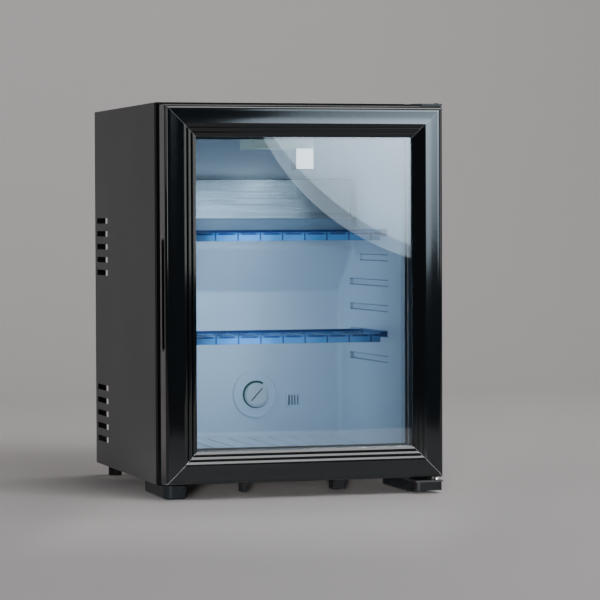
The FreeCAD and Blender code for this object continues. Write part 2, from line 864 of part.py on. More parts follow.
# Thermostat: a dished bezel on the back wall, a colour ring and a dial with a pointer slot.
dial_x = n.dial_place
dial_z = floor_z + n.dial_height
bezel = new_body("thermostat_bezel")
bezel_plate = liner_back - n.bezel_depth + n.bezel_rim
shaft_bore = n.dial_shaft_radius + n.pin_running_gap
pad(bezel, "XZ_Plane", bezel_plate, liner_back, circles=[
    (dial_x, dial_z, n.bezel_radius), (dial_x, dial_z, shaft_bore),
])
pad(bezel, "XZ_Plane", liner_back - n.bezel_depth, bezel_plate, circles=[
    (dial_x, dial_z, n.bezel_radius), (dial_x, dial_z, n.bezel_radius - n.bezel_rim),
])
ring = new_body("thermostat_ring")
ring_front = bezel_plate - n.ring_depth
pad(ring, "XZ_Plane", ring_front, bezel_plate, circles=[
    (dial_x, dial_z, n.ring_radius), (dial_x, dial_z, shaft_bore),
])
dial = new_body("thermostat_dial")
dial_back = ring_front - n.fit_gap
dial_face = dial_back - n.dial_depth
dial_disc = pad(dial, "XZ_Plane", dial_face, dial_back, circles=[(dial_x, dial_z, n.dial_radius)])
chamfer(
    dial, dial_disc, n.dial_edge, lambda edge: near(edge.BoundBox.YMax, dial_face),
)
slot_cos = math.cos(math.radians(DIAL_ANGLE))
slot_sin = math.sin(math.radians(DIAL_ANGLE))
slot_reach = n.dial_radius + n.cut_overrun
slot_half = n.dial_slot_width / 2
pocket(dial, "XZ_Plane", dial_face, dial_face + n.dial_slot_depth, [[
    (dial_x + slot_reach * (slot_cos * u) + slot_half * (-slot_sin * v),
     dial_z + slot_reach * (slot_sin * u) + slot_half * (slot_cos * v))
    for u, v in ((-1, -1), (1, -1), (1, 1), (-1, 1))
]])
pad(dial, "XZ_Plane", dial_back, liner_back - n.fit_gap, circles=[
    (dial_x, dial_z, n.dial_shaft_radius),
])

sensor = new_body("sensor_cover")
sensor_z = floor_z + n.sensor_height
sensor_half = n.sensor_width / 2
sensor_front = liner_back - n.sensor_depth
pad(sensor, "XZ_Plane", sensor_front, liner_back, [rectangle(
    n.sensor_place - sensor_half, sensor_z - sensor_half,
    n.sensor_place + sensor_half, sensor_z + sensor_half,
)])
first_slot = n.sensor_place - n.sensor_slot_pitch * (SENSOR_SLOTS - 1) / 2
sensor_cut = pocket(sensor, "XZ_Plane", sensor_front, liner_back, [rectangle(
    first_slot - n.sensor_slot_width / 2, sensor_z - sensor_half + n.sensor_slot_margin,
    first_slot + n.sensor_slot_width / 2, sensor_z + sensor_half - n.sensor_slot_margin,
)])
repeat(sensor, sensor_cut, "X_Axis", n.sensor_slot_pitch, SENSOR_SLOTS)


def bent_tube(label, points, bend, radius):
    """A round tube along straight runs joined by tangent bends of one radius."""
    places = [Vector(*[part.value for part in point]) for point in points]
    edges = []
    start = places[0]
    for before, corner, after in zip(places, places[1:], places[2:]):
        into = (corner - before).normalize()
        out = (after - corner).normalize()
        turn = into.getAngle(out)
        cut = bend.value * math.tan(turn / 2)
        first = corner - into * cut
        last = corner + out * cut
        middle_way = (out - into).normalize()
        middle = corner + middle_way * (bend.value / math.cos(turn / 2) - bend.value)
        edges.append(Part.LineSegment(start, first).toShape())
        edges.append(Part.Arc(first, middle, last).toShape())
        start = last
    edges.append(Part.LineSegment(start, places[-1]).toShape())
    circle = Part.Circle(places[0], places[1] - places[0], radius.value).toShape()
    tube = doc.addObject("Part::Feature", label)
    tube.Label = label
    tube.Shape = Part.Wire(edges).makePipe(Part.Face(Part.Wire([circle])))
    nodes.append(tube)
    return tube


# Cooling unit, open to view at the back: boiler, finned condenser, absorber coil and vessel.
unit_floor = n.foot_height + n.boiler_base
boiler_half = n.boiler_side / 2
boiler_top = unit_floor + n.boiler_height
boiler = new_body("boiler_case")
pad(boiler, "XY_Plane", unit_floor, boiler_top, [rounded(
    -n.boiler_place - boiler_half, unit_y - boiler_half,
    -n.boiler_place + boiler_half, unit_y + boiler_half, n.boiler_corner,
)])
condenser_z = n.overall_height - n.condenser_top_gap
condenser_low = condenser_z - n.condenser_fall
bent_tube("condenser_pipe", [
    (-n.boiler_place, unit_y, boiler_top),
    (-n.boiler_place, unit_y, condenser_z),
    (n.condenser_end, unit_y, condenser_low),
    (n.condenser_end, unit_y, condenser_low - n.condenser_drop),
    (n.condenser_end, panel_back, condenser_low - n.condenser_drop),
], n.bend_radius, n.tube_radius)

# The fins and their collars slide onto the sloping condenser tube.
condenser_run = n.condenser_end + n.boiler_place
fall_share = n.condenser_fall / condenser_run
fins = new_body("condenser_fins")
fin_bore = n.tube_radius + n.pin_running_gap
fin_half = n.fin_side / 2
collar_length = n.fin_pitch * (FINS - 1) + n.fin_thickness
pad(fins, "YZ_Plane", ZERO, collar_length, circles=[
    (ZERO, ZERO, fin_bore), (ZERO, ZERO, fin_bore + n.fin_collar),
])
first_fin = pad(
    fins, "YZ_Plane", ZERO, n.fin_thickness,
    [rectangle(-fin_half, -fin_half, fin_half, fin_half)], [(ZERO, ZERO, fin_bore)],
)
repeat(fins, first_fin, "X_Axis", n.fin_pitch, FINS)
fins.Placement = Placement(Vector(), Rotation(Vector(0, 1, 0), math.degrees(math.atan(fall_share.value))))
bind(fins, "Placement.Base.x", -n.fin_start)
bind(fins, "Placement.Base.y", unit_y)
bind(fins, "Placement.Base.z", condenser_z - (n.boiler_place - n.fin_start) * fall_share)

vessel_z = unit_floor + n.vessel_radius
vessel = new_body("absorber_vessel")
pad(vessel, "YZ_Plane", -n.vessel_left + n.vessel_cap, n.vessel_right - n.vessel_cap, circles=[
    (unit_y, vessel_z, n.vessel_radius),
])
pad(vessel, "YZ_Plane", -n.vessel_left, n.vessel_right, circles=[
    (unit_y, vessel_z, n.vessel_radius - n.vessel_step),
])

coil_z = condenser_low - n.coil_top_gap
vessel_top = vessel_z + n.vessel_radius
coil_height = coil_z - vessel_top
coil_tail = coil_height * n.coil_tail_share
coil_step = (coil_height - coil_tail) / COIL_RUNS - n.coil_fall
coil_points = [(n.coil_right, panel_back, coil_z), (n.coil_right, unit_y, coil_z)]
coil_x = n.coil_right
for run in range(COIL_RUNS):
    coil_z = coil_z - coil_step
    coil_points.append((coil_x, unit_y, coil_z))
    coil_x = -n.coil_left if run % 2 == 0 else n.coil_right
    coil_z = coil_z - n.coil_fall
    coil_points.append((coil_x, unit_y, coil_z))
coil_points.append((coil_x, unit_y, vessel_top + n.fit_gap))
bent_tube("absorber_coil", coil_points, n.bend_radius, n.coil_radius)
bent_tube("heat_exchanger_pipe", [
    (-n.vessel_left - n.fit_gap, unit_y, vessel_z),
    (-n.boiler_place + boiler_half + n.fit_gap, unit_y, vessel_z),
], n.bend_radius, n.tube_radius)

bracket = new_body("unit_bracket")
bracket_top = unit_floor - n.fit_gap
bracket_rear = unit_y + boiler_half
pad(bracket, "YZ_Plane", -n.boiler_place - boiler_half, n.vessel_right, [[
    (panel_back, bracket_top - n.bracket_thickness),
    (bracket_rear, bracket_top - n.bracket_thickness),
    (bracket_rear, bracket_top),
    (panel_back + n.bracket_thickness, bracket_top),
    (panel_back + n.bracket_thickness, bracket_top + n.bracket_flange),
    (panel_back, bracket_top + n.bracket_flange),
]])

control = new_body("control_box")
control_low = n.foot_height + n.sheet_thickness + n.control_base
control_left = n.control_place - n.control_width / 2
control_right = n.control_place + n.control_width / 2
control_back = panel_back + n.control_depth
pad(control, "XZ_Plane", panel_back, control_back, [rounded(
    control_left, control_low, control_right, control_low + n.control_height, n.control_corner,
)])
gland = new_body("cord_gland")
gland_z = control_low + n.control_height / 2
gland_x = control_left + n.control_width / 4
pad(gland, "XZ_Plane", control_back, control_back + n.gland_length, circles=[
    (gland_x, gland_z, n.gland_radius), (gland_x, gland_z, n.gland_bore),
])

# Door frame: four moulded lengths with one section, mitred at the corners. The section is drawn
# with u from the outer edge inwards and v from the front to the back.
lip_v = ridge_fall * RIDGES + n.ridge_return
seat_v = lip_v + n.glass_lip
rebate_u = frame_width - n.glass_overlap
foot_low = n.gasket_inset + (n.gasket_head_width - n.gasket_foot_width) / 2
foot_high = foot_low + n.gasket_foot_width
foot_v = n.door_thickness - n.gasket_foot_depth - n.fit_gap
dish_radius = bow_radius(n.dish_width, ZERO, n.dish_bow)
ridge_radius = bow_radius(n.ridge_width, n.ridge_drop, n.ridge_bow)
moulding = [
    (ZERO, n.door_thickness),
    (ZERO, n.bead_radius, n.bead_radius, OUTWARD),
    (n.bead_radius, ZERO),
    (n.bead_width, ZERO, dish_radius, INWARD),
]
for ridge in range(RIDGES):
    ridge_u = n.bead_width + n.dish_width + ridge_pitch * ridge
    ridge_v = ridge_fall * ridge
    moulding.append((ridge_u, ridge_v, ridge_radius, OUTWARD))
    moulding.append((ridge_u + n.ridge_width, ridge_v + n.ridge_drop))
moulding += [
    (frame_width, seat_v),
    (rebate_u, seat_v),
    (rebate_u, n.door_thickness),
    (foot_high + n.fit_gap, n.door_thickness),
    (foot_high + n.fit_gap, foot_v),
    (foot_low - n.fit_gap, foot_v),
    (foot_low - n.fit_gap, n.door_thickness),
]


def section_at(place, mirrored):
    """The moulding's outline set into a sketch, with its arcs turned over where it is mirrored."""
    outline = []
    for point in moulding:
        x, y = place(point[0], point[1])
        if len(point) == 2:
            outline.append((x, y))
        else:
            outline.append((x, y, point[2], -point[3] if mirrored else point[3]))
    return outline


def rail(label, top):
    """The top or bottom length of the door frame, mitred at both ends."""
    edge_z = door_top if top else door_bottom
    way = -1 if top else 1
    body = new_body(label)
    section = section_at(lambda u, v: (door_front + v, edge_z + u * way), not top)
    pad(body, "YZ_Plane", -half_width, half_width, [section])
    over = n.cut_overrun
    reach = frame_width + over
    pocket(body, "XZ_Plane", door_front - over, door_back + over, [[
        ((half_width + over) * side, edge_z - over * way),
        ((half_width - reach) * side, edge_z + reach * way),
        ((half_width + over) * side, edge_z + reach * way),
    ] for side in (-1, 1)])
    return body


def stile(label, side):
    """An upright length of the door frame, mitred at both ends."""
    body = new_body(label)
    section = section_at(lambda u, v: ((half_width - u) * side, door_front + v), side > 0)
    pad(body, "XY_Plane", door_bottom, door_top, [section])
    over = n.cut_overrun
    reach = frame_width + over
    pocket(body, "XZ_Plane", door_front - over, door_back + over, [[
        ((half_width + over) * side, edge_z - over * way),
        ((half_width - reach) * side, edge_z + reach * way),
        ((half_width - reach) * side, edge_z - over * way),
    ] for edge_z, way in ((door_bottom, 1), (door_top, -1))])
    return body


def bush_hole(body, low, high):
    pocket(body, "XY_Plane", low, high, circles=[
        (hinge_x, hinge_y, n.bush_radius + n.pin_running_gap),
    ])


top_rail = rail("door_top_rail", True)
bottom_rail = rail("door_bottom_rail", False)
left_stile = stile("door_left_stile", -1)
right_stile = stile("door_right_stile", 1)
for body in (top_rail, right_stile):
    bush_hole(body, door_top - n.bush_length, door_top + n.cut_overrun)
for body in (bottom_rail, right_stile):
    bush_hole(body, door_bottom - n.cut_overrun, door_bottom + n.bush_length)


def bush(label, low):
    body = new_body(label)
    pad(body, "XY_Plane", low, low + n.bush_length, circles=[
        (hinge_x, hinge_y, pin_bore), (hinge_x, hinge_y, n.bush_radius),
    ])


bush("top_hinge_bush", door_top - n.bush_length)
bush("bottom_hinge_bush", door_bottom)

# The pull is a cup let into the door's left edge at half height.
handle_middle = (door_bottom + door_top) / 2
handle_low = handle_middle - n.handle_length / 2
handle_high = handle_middle + n.handle_length / 2
handle_front = door_front + n.handle_side_margin
handle_back = door_back - n.handle_side_margin
handle_floor = -half_width + n.handle_depth
pocket(left_stile, "YZ_Plane", -half_width - n.cut_overrun, handle_floor, [rounded(
    handle_front, handle_low, handle_back, handle_high, n.handle_corner,
)])
handle_cup = new_body("handle_cup")
gap = n.fit_gap
pad(handle_cup, "YZ_Plane", -half_width, handle_floor - gap, [rounded(
    handle_front + gap, handle_low + gap, handle_back - gap, handle_high - gap, n.handle_corner - gap,
)])
wall = gap + n.handle_wall
pocket(handle_cup, "YZ_Plane", -half_width, handle_floor - wall, [rounded(
    handle_front + wall, handle_low + wall, handle_back - wall, handle_high - wall,
    n.handle_corner - wall,
)])


def ring_outlines(outer_u, inner_u):
    """Two rectangles set in from the door's outer edge."""
    return [
        rectangle(
            -half_width + inset, door_bottom + inset, half_width - inset, door_top - inset,
        ) for inset in (outer_u, inner_u)
    ]


# Double glazing: two panes with a spacer bar between them, held by a trim ring at the back.
pane_u = rebate_u + n.fit_gap
pane_front = door_front + seat_v
block(
    "outer_glass",
    (-half_width + pane_u, pane_front, door_bottom + pane_u),
    (half_width - pane_u, pane_front + n.glass_thickness, door_top - pane_u),
)
block(
    "inner_glass",
    (-half_width + pane_u, door_back - n.glass_thickness, door_bottom + pane_u),
    (half_width - pane_u, door_back, door_top - pane_u),
)
spacer = new_body("glass_spacer")
pad(
    spacer, "XZ_Plane", pane_front + n.glass_thickness, door_back - n.glass_thickness,
    ring_outlines(pane_u, pane_u + n.spacer_width),
)
trim = new_body("door_back_trim")
pad(
    trim, "XZ_Plane", door_back, door_back + n.trim_thickness,
    ring_outlines(n.trim_inset, n.trim_inset + n.trim_width),
)

# Magnetic seal: a foot in the frame's groove, a neck and a wide head that meets the front frame.
gasket = new_body("door_gasket")
neck_low = n.gasket_inset + (n.gasket_head_width - n.gasket_neck_width) / 2
head_back = frame_front - n.fit_gap
head_front = head_back - n.gasket_head_depth
pad(gasket, "XZ_Plane", door_back, head_front, ring_outlines(neck_low, neck_low + n.gasket_neck_width))
pad(
    gasket, "XZ_Plane", head_front, head_back,
    ring_outlines(n.gasket_inset, n.gasket_inset + n.gasket_head_width),
)
pad(gasket, "XZ_Plane", door_back - n.gasket_foot_depth, door_back, ring_outlines(foot_low, foot_high))


def shelf(label, row):
    """A moulded shelf: slotted plate, side runners, front lip with ribs and a low rear lip."""
    body = new_body(label)
    front = shell_front + (tray_front - shell_front) * n.shelf_front_share
    back = tray_front - n.shelf_back_gap
    pad(body, "XY_Plane", ZERO, n.shelf_plate, [rectangle(-shelf_half, front, shelf_half, back)])
    top = n.shelf_plate + n.shelf_runner_rise
    runner_in = shelf_half - n.runner_width
    pad(body, "XY_Plane", n.shelf_plate, top, [
        rectangle(-shelf_half, front, -runner_in, back),
        rectangle(runner_in, front, shelf_half, back),
    ])
    pad(body, "XY_Plane", n.shelf_plate, n.shelf_plate + n.rear_lip_rise, [
        rectangle(-runner_in, back - n.shelf_lip_thickness, runner_in, back),
    ])
    lip_half = shelf_half - n.shelf_lip_inset
    lip_low = n.shelf_plate - n.shelf_lip_height
    pad(body, "XY_Plane", lip_low, ZERO, [
        rectangle(-lip_half, front, lip_half, front + n.shelf_lip_thickness),
    ])
    rib_left = n.shelf_rib_margin - lip_half
    rib_pitch = -rib_left * 2 / (SHELF_RIBS - 1)
    rib = pad(body, "XY_Plane", lip_low, n.shelf_plate, [rectangle(
        rib_left - n.shelf_rib_width / 2, front - n.shelf_rib_rise,
        rib_left + n.shelf_rib_width / 2, front,
    )])
    repeat(body, rib, "X_Axis", rib_pitch, SHELF_RIBS)
    slot_left = rib_left + n.shelf_web / 2
    slot = pocket(body, "XY_Plane", ZERO, n.shelf_plate, [rectangle(
        slot_left, front + n.shelf_slot_margin,
        slot_left + rib_pitch - n.shelf_web, back - n.shelf_slot_margin,
    )])
    repeat(body, slot, "X_Axis", rib_pitch, SHELF_RIBS - 1)
    bind(body, "Placement.Base.z", groove_z(row) + n.fit_gap)


shelf("lower_shelf", LOWER_SHELF_ROW)
shelf("upper_shelf", UPPER_SHELF_ROW)

doc.recompute()
for item in doc.Objects:
    if "Invalid" in item.State or "Error" in item.State:
        raise RuntimeError(f"{item.Label} failed to build")
for node in nodes:
    if node.Shape.isNull() or not node.Shape.isValid():
        raise RuntimeError(f"{node.Label} has no valid shape")

os.makedirs("parts", exist_ok=True)
for node in nodes:
    node.Shape.exportStep(f"parts/{node.Label}.step")
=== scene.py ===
import math

import bmesh
import bpy
from mathutils import Matrix, Vector


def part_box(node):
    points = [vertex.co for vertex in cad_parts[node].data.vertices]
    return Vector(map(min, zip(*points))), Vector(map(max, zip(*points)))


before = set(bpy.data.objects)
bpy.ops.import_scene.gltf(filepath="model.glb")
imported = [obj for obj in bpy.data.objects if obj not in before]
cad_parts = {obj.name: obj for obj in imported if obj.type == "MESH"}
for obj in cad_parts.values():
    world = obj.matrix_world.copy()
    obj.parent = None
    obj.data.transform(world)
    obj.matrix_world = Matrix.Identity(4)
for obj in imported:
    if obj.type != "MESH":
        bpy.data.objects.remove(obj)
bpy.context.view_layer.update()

# The cabinet shell: folded sheet steel in satin charcoal enamel. The enamel has a faint orange
# peel, and the sheets meet in plain butt edges at the corners.
ENAMEL = (0.050, 0.051, 0.054)
GRAIN_DETAIL = 3
GRAIN_DEPTH = 0.001
PATCH_SCALE = 6
PATCH_DETAIL = 4
PATCH_MEAN = 0.5


def grain_group():
    """Fine texture and slow patches of tone that every painted or moulded finish here has."""
    group = bpy.data.node_groups.new("surface_grain", "ShaderNodeTree")
    group.interface.new_socket("Colour", in_out="INPUT", socket_type="NodeSocketColor")
    for name in ("Tone", "Roughness", "Spread", "Scale", "Height"):
        group.interface.new_socket(name, in_out="INPUT", socket_type="NodeSocketFloat")
    group.interface.new_socket("Colour", in_out="OUTPUT", socket_type="NodeSocketColor")
    group.interface.new_socket("Roughness", in_out="OUTPUT", socket_type="NodeSocketFloat")
    group.interface.new_socket("Normal", in_out="OUTPUT", socket_type="NodeSocketVector")
    nodes = group.nodes
    link = group.links.new
    entry = nodes.new("NodeGroupInput")
    leave = nodes.new("NodeGroupOutput")
    place = nodes.new("ShaderNodeTexCoord")
    fine = nodes.new("ShaderNodeTexNoise")
    fine.inputs["Detail"].default_value = GRAIN_DETAIL
    broad = nodes.new("ShaderNodeTexNoise")
    broad.inputs["Scale"].default_value = PATCH_SCALE
    broad.inputs["Detail"].default_value = PATCH_DETAIL
    link(place.outputs["Object"], fine.inputs["Vector"])
    link(place.outputs["Object"], broad.inputs["Vector"])
    link(entry.outputs["Scale"], fine.inputs["Scale"])
    centred = nodes.new("ShaderNodeMath")
    centred.operation = "SUBTRACT"
    centred.inputs[1].default_value = PATCH_MEAN
    link(broad.outputs["Fac"], centred.inputs[0])
    tone = nodes.new("ShaderNodeMath")
    tone.operation = "MULTIPLY_ADD"
    tone.inputs[2].default_value = 1
    link(centred.outputs[0], tone.inputs[0])
    link(entry.outputs["Tone"], tone.inputs[1])
    shade = nodes.new("ShaderNodeVectorMath")
    shade.operation = "SCALE"
    link(entry.outputs["Colour"], shade.inputs[0])
    link(tone.outputs[0], shade.inputs["Scale"])
    link(shade.outputs[0], leave.inputs["Colour"])
    rough = nodes.new("ShaderNodeMath")
    rough.operation = "MULTIPLY_ADD"
    link(centred.outputs[0], rough.inputs[0])
    link(entry.outputs["Spread"], rough.inputs[1])
    link(entry.outputs["Roughness"], rough.inputs[2])
    link(rough.outputs[0], leave.inputs["Roughness"])
    bump = nodes.new("ShaderNodeBump")
    bump.inputs["Distance"].default_value = GRAIN_DEPTH
    link(fine.outputs["Fac"], bump.inputs["Height"])
    link(entry.outputs["Height"], bump.inputs["Strength"])
    link(bump.outputs["Normal"], leave.inputs["Normal"])
    return group


SURFACE_GRAIN = grain_group()


def finish_of(name, colour, roughness, scale=900, height=0.05, tone=0.1, spread=0.1, **constants):
    """A material with the shared grain. Constants are set on the shader's own sockets."""
    material = bpy.data.materials.new(name)
    material.use_nodes = True
    tree = material.node_tree
    shader = tree.nodes["Principled BSDF"]
    grain = tree.nodes.new("ShaderNodeGroup")
    grain.name = "grain"
    grain.node_tree = SURFACE_GRAIN
    amounts = {
        "Colour": (*colour, 1), "Tone": tone, "Roughness": roughness,
        "Spread": spread, "Scale": scale, "Height": height,
    }
    for socket, value in amounts.items():
        grain.inputs[socket].default_value = value
    tree.links.new(grain.outputs["Colour"], shader.inputs["Base Color"])
    tree.links.new(grain.outputs["Roughness"], shader.inputs["Roughness"])
    tree.links.new(grain.outputs["Normal"], shader.inputs["Normal"])
    for socket, value in constants.items():
        shader.inputs[socket.replace("_", " ")].default_value = value
    return material


def dress(material, *names):
    """Gives finished CAD nodes their material."""
    for name in names:
        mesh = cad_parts[name].data
        mesh.materials.clear()
        mesh.materials.append(material)


enamel = finish_of("charcoal_enamel", colour=ENAMEL, roughness=0.42, scale=700, height=0.06, tone=0.12)
dress(enamel, "left_side_panel", "right_side_panel", "top_panel", "bottom_panel", "rear_rail")

# The front frame is a rim of black moulded plastic, left matt as it comes out of the tool. Its black is
# deeper and its sheen weaker than the other black plastics', as painted shade for the recess between door
# and cabinet. The white liner laps over its inner edge.
FRAME_BLACK_AND_SHADE = (0.002, 0.0025, 0.003)
WRAP_HALF_WIDTH = 0.170
WRAP_LOW = 0.050
WRAP_HIGH = 0.520
WRAP_WHITE = (0.62, 0.67, 0.72)


def object_place(tree):
    """The socket that gives a point's place on the whole object, in metres."""
    return tree.nodes.new("ShaderNodeTexCoord").outputs["Object"]


def place_axes(tree):
    """The same place as three sockets: across, depth and level."""
    split = tree.nodes.new("ShaderNodeSeparateXYZ")
    tree.links.new(object_place(tree), split.inputs[0])
    return split.outputs["X"], split.outputs["Y"], split.outputs["Z"]


def math_node(tree, operation, *inputs):
    """One math step. An input is a number or a socket."""
    node = tree.nodes.new("ShaderNodeMath")
    node.operation = operation
    for index, value in enumerate(inputs):
        if isinstance(value, (int, float)):
            node.inputs[index].default_value = value
        else:
            tree.links.new(value, node.inputs[index])
    return node.outputs[0]


def all_of(tree, *masks):
    """The product of several masks, which is one where all of them are one."""
    together = masks[0]
    for mask in masks[1:]:
        together = math_node(tree, "MULTIPLY", together, mask)
    return together


def blend_in(tree, mask, colour):
    """Lays a second colour over the base colour where the mask is one."""
    shader = tree.nodes["Principled BSDF"]
    mix = tree.nodes.new("ShaderNodeMix")
    mix.data_type = "RGBA"
    below = shader.inputs["Base Color"].links[0].from_socket
    tree.links.new(mask, mix.inputs["Factor"])
    tree.links.new(below, mix.inputs["A"])
    mix.inputs["B"].default_value = (*colour, 1)
    tree.links.new(mix.outputs["Result"], shader.inputs["Base Color"])


def liner_wrap(material):
    """Shows the white liner where it laps over the inner edge of the front frame."""
    tree = material.node_tree
    across, _, level = place_axes(tree)
    side = math_node(tree, "LESS_THAN", math_node(tree, "ABSOLUTE", across), WRAP_HALF_WIDTH)
    low = math_node(tree, "GREATER_THAN", level, WRAP_LOW)
    high = math_node(tree, "LESS_THAN", level, WRAP_HIGH)
    blend_in(tree, all_of(tree, side, low, high), WRAP_WHITE)


frame_black = finish_of("frame_black", colour=FRAME_BLACK_AND_SHADE, roughness=0.5, scale=1400, height=0.04,
                        Specular_IOR_Level=0.06)
liner_wrap(frame_black)
dress(frame_black, "front_frame")

# Under the floor: a rib and a block moulded in satin black plastic, front feet moulded in a
# glossier black, and rear feet of soft rubber.
moulded_black = finish_of("moulded_black", colour=(0.006, 0.006, 0.007), roughness=0.4, scale=1400,
                          height=0.04, Specular_IOR_Level=0.2)
dress(moulded_black, "underside_rib", "underside_block")
foot_black = finish_of("foot_black", colour=(0.008, 0.010, 0.012), roughness=0.16, scale=260,
                       height=0.03, Specular_IOR_Level=0.12)
dress(foot_black, "left_front_foot", "right_front_foot")
rubber = finish_of("foot_rubber", colour=(0.012, 0.012, 0.012), roughness=0.75, scale=1800,
                   height=0.1, Specular_IOR_Level=0.2)
dress(rubber, "rear_foot_left", "rear_foot_right")

# The liner is white plastic sheet, vacuum-formed in one piece with its shelf grooves, and keeps
# a soft gloss. Foam fills the space between it and the steel. The grooves come in level rows on
# both side walls, and the upper rows end further forward.
LINER_WHITE = (0.74, 0.80, 0.86)
GROOVE_FIRST = 0.1802
GROOVE_PITCH = 0.03675
GROOVE_HEIGHT = 0.0086
GROOVE_ROWS = 6
GROOVE_LOW_ROWS = 4
GROOVE_FRONT = -0.107
GROOVE_BACK = 0.062
GROOVE_SHORTER = 0.044
GROOVE_WALL = 0.14
GROOVE_LINE = 0.0007
GROOVE_SHADE = (0.22, 0.29, 0.37)
SENSOR_RIM = 0.004
PAINTED_RECESS_SHADE = (0.012, 0.016, 0.020)


def groove_outlines(material):
    """Darkens the upper and lower edges of the shelf grooves, which lie in shade."""
    tree = material.node_tree
    across, depth, level = place_axes(tree)
    side = math_node(tree, "GREATER_THAN", math_node(tree, "ABSOLUTE", across), GROOVE_WALL)
    ahead = math_node(tree, "GREATER_THAN", depth, GROOVE_FRONT)
    above = math_node(tree, "SUBTRACT", level, GROOVE_FIRST)
    short_row = math_node(tree, "GREATER_THAN", above, GROOVE_PITCH * GROOVE_LOW_ROWS - GROOVE_LINE)
    shorter = math_node(tree, "MULTIPLY", short_row, GROOVE_SHORTER)
    back = math_node(tree, "SUBTRACT", GROOVE_BACK, shorter)
    behind = math_node(tree, "LESS_THAN", depth, back)
    low = math_node(tree, "GREATER_THAN", above, -GROOVE_LINE)
    top = GROOVE_PITCH * (GROOVE_ROWS - 1) + GROOVE_HEIGHT + GROOVE_LINE
    high = math_node(tree, "LESS_THAN", above, top)
    raised = math_node(tree, "ADD", above, GROOVE_LINE)
    within = math_node(tree, "FLOORED_MODULO", raised, GROOVE_PITCH)
    lower_edge = math_node(tree, "LESS_THAN", within, GROOVE_LINE * 2)
    gap = math_node(tree, "SUBTRACT", within, GROOVE_HEIGHT + GROOVE_LINE)
    upper_edge = math_node(tree, "LESS_THAN", math_node(tree, "ABSOLUTE", gap), GROOVE_LINE)
    edges = math_node(tree, "MAXIMUM", lower_edge, upper_edge)
    blend_in(tree, all_of(tree, edges, side, ahead, behind, low, high), GROOVE_SHADE)


def sensor_recess_shade(material):
    """Paints shade on the back wall behind the slots of the sensor cover."""
    low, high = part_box("sensor_cover")
    tree = material.node_tree
    across, _, level = place_axes(tree)
    inside = []
    for place, least, most in ((across, low.x, high.x), (level, low.z, high.z)):
        half = (most - least) / 2 - SENSOR_RIM
        apart = math_node(tree, "SUBTRACT", place, (least + most) / 2)
        inside.append(math_node(tree, "LESS_THAN", math_node(tree, "ABSOLUTE", apart), half))
    blend_in(tree, all_of(tree, *inside), PAINTED_RECESS_SHADE)


back_white = finish_of("liner_back_white", colour=LINER_WHITE, roughness=0.30, scale=300, height=0.03,
                       tone=0.05)
sensor_recess_shade(back_white)
groove_outlines(back_white)
dress(back_white, "inner_liner")
foam = finish_of("insulation_foam", colour=(0.62, 0.50, 0.22), roughness=0.9, scale=500, height=0.5)
dress(foam, "foam_insulation")

# The thermostat: a dished bezel and a slotted sensor cover in the liner's white, a ring with a
# printed green scale that grows from thin to thick, and an off-white dial with one slot across
# its face. All are moulded, and the dial turns on a short shaft.
dial_low, dial_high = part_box("thermostat_dial")
dial_middle = (dial_low + dial_high) / 2
SCALE_GREEN = (0.002, 0.055, 0.028)
SCALE_OUTER = 0.0207
SCALE_BAND = 0.0046
SCALE_THIN_SHARE = 0.12
SCALE_START = math.radians(56)
SCALE_SWEEP = math.radians(270)
SLOT_FLOOR = 0.0007
DIAL_FACE = 0.0125


def from_dial_middle(tree):
    """How far a point is across and up from the dial's middle, and from its axis."""
    place_across, _, level = place_axes(tree)
    across = math_node(tree, "SUBTRACT", place_across, dial_middle.x)
    up = math_node(tree, "SUBTRACT", level, dial_middle.z)
    squares = math_node(tree, "ADD", math_node(tree, "MULTIPLY", across, across),
                        math_node(tree, "MULTIPLY", up, up))
    return across, up, math_node(tree, "SQRT", squares)


def printed_scale(material):
    """Prints the tapered arc in green over the white of the ring."""
    tree = material.node_tree
    across, up, radius = from_dial_middle(tree)
    angle = math_node(tree, "SUBTRACT", math_node(tree, "ARCTAN2", up, across), SCALE_START)
    turned = math_node(tree, "FLOORED_MODULO", angle, math.tau)
    share = math_node(tree, "DIVIDE", turned, SCALE_SWEEP)
    thinner = math_node(tree, "MULTIPLY", share, 1 - SCALE_THIN_SHARE)
    taper = math_node(tree, "SUBTRACT", 1.0, thinner)
    band = math_node(tree, "MULTIPLY", taper, SCALE_BAND)
    inner = math_node(tree, "SUBTRACT", SCALE_OUTER, band)
    outside = math_node(tree, "GREATER_THAN", radius, inner)
    within = math_node(tree, "LESS_THAN", radius, SCALE_OUTER)
    before_end = math_node(tree, "LESS_THAN", share, 1.0)
    blend_in(tree, all_of(tree, outside, within, before_end), SCALE_GREEN)


def slot_shade(material):
    """Paints shade on the floor of the slot across the dial."""
    tree = material.node_tree
    _, depth, _ = place_axes(tree)
    _, _, radius = from_dial_middle(tree)
    deep = math_node(tree, "GREATER_THAN", depth, dial_low.y + SLOT_FLOOR)
    on_face = math_node(tree, "LESS_THAN", radius, DIAL_FACE)
    blend_in(tree, all_of(tree, deep, on_face), PAINTED_RECESS_SHADE)


liner_white = finish_of("liner_white", colour=LINER_WHITE, roughness=0.30, scale=300, height=0.03,
                        tone=0.05)
dress(liner_white, "thermostat_bezel", "sensor_cover")
ring_white = finish_of("scale_ring", colour=(0.72, 0.79, 0.84), roughness=0.35, scale=600, height=0.02,
                       tone=0.05)
printed_scale(ring_white)
dress(ring_white, "thermostat_ring")
dial_white = finish_of("dial_white", colour=(0.72, 0.74, 0.73), roughness=0.33, scale=900, height=0.03,
                       tone=0.06)
slot_shade(dial_white)
dress(dial_white, "thermostat_dial")
